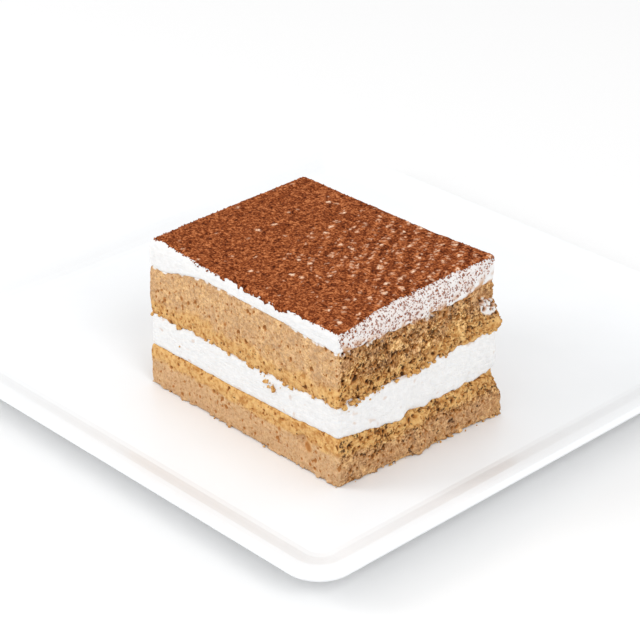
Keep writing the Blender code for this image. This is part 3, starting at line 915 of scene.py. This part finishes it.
def cocoa_flecks(points):
    """Pale clumps in slanting rows, more towards the back and the open side, and the rows' tone."""
    along = 2 * pi * (points @ RIDGE_ACROSS) / (RIDGE_PITCH * 0.5)
    rows = np.sin(along + 3 * noise_at(points, 9 * MM, 2.0))
    across, deep = (points[..., 0] / MM + 14) / 82, (points[..., 1] / MM + 60) / 63
    towards = eased(0.0, 1.0, (across - 0.3) / 0.35) * eased(0.2, 1.0, (deep - 0.15) / 0.45)
    bent = points[..., :2] + 0.6 * MM * noise_at(points, 0.9 * MM, 6.0)[..., None]
    total = np.zeros_like(rows)
    for spacing, wide, share, pale in FLECK_KINDS:
        near, border, number = cells_at(bent, spacing, 11.0)
        kept = number < share * towards * (0.13 + 0.20 * rows) + 0.01
        fleck = pale * eased(1.0, 0.0, (near - 0.12) / wide)
        total = np.maximum(total, np.where(kept, fleck, 0.0))
    return total, 0.13 * rows * (0.3 + 0.7 * towards)


# Crumbs


def lumps(name, spots, material_made, notes):
    """One mesh of many uneven crumbs, each given by its centre, radius and flatness."""
    shape = bmesh.new()
    chance = random.Random(len(spots))
    for centre, radius, flat in spots:
        detail = 2 if radius > FINE_CRUMB else 1
        made = bmesh.ops.create_icosphere(shape, subdivisions=detail, radius=radius)
        angle = chance.uniform(0, 2 * pi)
        turn = Matrix.Rotation(angle, 3, Vector((chance.random(), chance.random(), 1)))
        shift = Vector((chance.uniform(0, 9), chance.uniform(0, 9), chance.uniform(0, 9)))
        for vertex in made["verts"]:
            place = vertex.co / radius
            waves = 0.7 * noise.noise(place * 1.3 + shift) + 0.3 * noise.noise(place * 3 + shift)
            place = place * (1 + waves)
            place.z *= flat
            vertex.co = turn @ place * radius + centre
    mesh = bpy.data.meshes.new(name)
    shape.to_mesh(mesh)
    shape.free()
    mesh.materials.append(material_made)
    mesh.shade_smooth()
    for note, value in notes.items():
        values = mesh.attributes.new(note, "FLOAT", "POINT").data
        values.foreach_set("value", [value] * len(mesh.vertices))
    made = bpy.data.objects.new(name, mesh)
    bpy.context.scene.collection.objects.link(made)
    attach(made, BODY)
    return made


def on_block(around, height, inset):
    """A single point of the block."""
    place = outline_points(np.array(around), np.array(height), np.array(inset))
    return Vector(place.tolist())


def on_side(around, height, out):
    """A point by the block's side, a little way out from it."""
    return on_block(around, height, -out)


def crown_at(around, inset):
    return float(crown_height(outline_place(np.array(around), inset)))


def make_crumbs(crumb):
    """Loose sponge crumbs caught on the middle cream, under the torn layer and round the foot."""
    chance = random.Random(11)
    spots = []
    for around, height, spread, tall, count in CRUMB_CLUSTERS:
        for _ in range(count):
            place = around + chance.gauss(0, spread)
            up = (height + chance.gauss(0, tall)) * MM
            size = chance.choice(CRUMB_RADII) * chance.uniform(0.7, 1.2) * MM
            spots.append((on_side(place, up, -0.3 * MM), size, 0.8))
    for _ in range(CRUMBS_AT_CUT):
        around = chance.uniform(0, 4)
        up = float(MIDDLE_CUT(np.array(around), 0.0)) - abs(chance.gauss(0, 0.3)) * MM
        spots.append((on_side(around, up, -0.5 * MM), chance.uniform(0.3, 0.8) * MM, 1.0))
    for _ in range(CRUMBS_AT_FOOT):
        around = chance.uniform(0, 4)
        size = chance.uniform(0.15, 0.4) * MM
        out = chance.uniform(-0.4, 0.3) * MM
        spots.append((on_side(around, -GAP + size * 0.7, out), size, 0.8))
    return lumps("sponge_crumbs", spots, crumb, {"gold": 1.2, "open": 0.5})


def make_cocoa_grains(dust, ceiling):
    """Grains of cocoa strewn over the cream of the shoulder and down its side."""
    chance = random.Random(5)
    spots = []
    for _ in range(GRAINS_ON_CREAM):
        along = chance.random()
        edge = float(cocoa_edge(np.array(RIGHT + along)))
        fall = abs(chance.gauss(0, 1.0)) * (3.2 - 1.6 * along) * MM
        inset = edge - fall
        around = RIGHT + along
        size = chance.uniform(0.10, 0.26) * MM
        if inset > 0:
            up = crown_at(around, inset) - 0.3 * MM
            spots.append((on_block(around, up, inset), size, 0.8))
        else:
            up = crown_at(around, 0.0) + inset - 0.3 * MM
            low = float(UPPER_CUT(np.array(around), 0.0))
            if up > low:
                spots.append((on_side(around, up, -0.05 * MM), size, 1.0))
    for _ in range(GRAINS_AT_EDGE):
        around = chance.uniform(0, 4)
        inset = float(cocoa_edge(np.array(around))) + chance.gauss(0.05, 0.22) * MM
        inset = max(inset, 0.05 * MM)
        place = on_block(around, crown_at(around, inset) - 0.25 * MM, inset)
        size = chance.uniform(0.12, 0.34) * MM
        place.z = min(place.z, ceiling - 1.5 * size)
        spots.append((place, size, 0.9))
    return lumps("cocoa_grains", spots, dust, {"tone_and_shade": 0.6})


# Stage


def make_camera():
    """The camera at the photograph's place."""
    forward = Vector((
        -sin(CAMERA_AZIMUTH) * cos(CAMERA_ELEVATION),
        cos(CAMERA_AZIMUTH) * cos(CAMERA_ELEVATION),
        -sin(CAMERA_ELEVATION),
    ))
    data = bpy.data.cameras.new("camera")
    data.sensor_width = SENSOR
    data.lens = FOCAL_PIXELS / PHOTO_SIDE * SENSOR
    data.clip_start = 0.01
    made = bpy.data.objects.new("camera", data)
    made.location = CAMERA_PLACE
    made.rotation_euler = forward.to_track_quat("-Z", "Y").to_euler()
    bpy.context.scene.collection.objects.link(made)
    bpy.context.scene.camera = made


def make_light(name, place, power):
    """A round soft light that shines on the cake."""
    data = bpy.data.lights.new(name, "AREA")
    data.shape = "DISK"
    data.size = LIGHT_SIZE
    data.energy = power
    made = bpy.data.objects.new(name, data)
    made.location = place
    towards = Vector(LIGHT_TARGET) - Vector(place)
    made.rotation_euler = towards.to_track_quat("-Z", "Y").to_euler()
    bpy.context.scene.collection.objects.link(made)


def make_stage():
    """A white floor and high-key studio light, strongest from the left of the camera."""
    scene = bpy.context.scene
    scene.view_settings.view_transform = "Standard"
    world = bpy.data.worlds.new("white_room")
    scene.world = world
    world.use_nodes = True
    background = world.node_tree.nodes["Background"]
    background.inputs["Color"].default_value = (1, 1, 1, 1)
    background.inputs["Strength"].default_value = WORLD_STRENGTH
    made, tree, shader = material("white_floor")
    shader.inputs["Base Color"].default_value = (FLOOR_WHITE, FLOOR_WHITE, FLOOR_WHITE, 1)
    shader.inputs["Roughness"].default_value = 0.9
    mesh = bpy.data.meshes.new("floor")
    corners = [(x * FLOOR_HALF, y * FLOOR_HALF, 0) for x, y in ((-1, -1), (1, -1), (1, 1), (-1, 1))]
    mesh.from_pydata(corners, [], [(0, 1, 2, 3)])
    mesh.materials.append(made)
    floor = bpy.data.objects.new("floor", mesh)
    scene.collection.objects.link(floor)
    for name, place, power in LIGHTS:
        make_light(name, place, power)


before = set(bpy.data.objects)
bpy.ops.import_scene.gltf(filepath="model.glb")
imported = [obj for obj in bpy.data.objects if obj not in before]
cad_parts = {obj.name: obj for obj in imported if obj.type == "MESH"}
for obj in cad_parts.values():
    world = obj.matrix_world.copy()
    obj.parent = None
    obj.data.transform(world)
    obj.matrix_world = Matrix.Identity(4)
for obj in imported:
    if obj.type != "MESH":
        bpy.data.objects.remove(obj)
cad_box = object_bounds()
make_camera()
sponge = sponge_material()
cream = cream_material()
cocoa = cocoa_material()
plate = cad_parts["plate"]
plate.data.materials.clear()
plate.data.materials.append(glaze_material())
make_sponge(
    "sponge_lower_crumb", "sponge_lower", base_height, LOWER_CUT, colour_lower, sponge, 0.65
)
make_middle_cream(LOWER_CUT, MIDDLE_CUT, cream)
make_sponge("sponge_upper_crumb", "sponge_upper", MIDDLE_CUT, UPPER_CUT, colour_upper, sponge)
make_top_cream(UPPER_CUT, cream)
make_cocoa(cocoa, cad_box[1][2])
make_crumbs(sponge)
make_cocoa_grains(cocoa, cad_box[1][2])
make_stage()
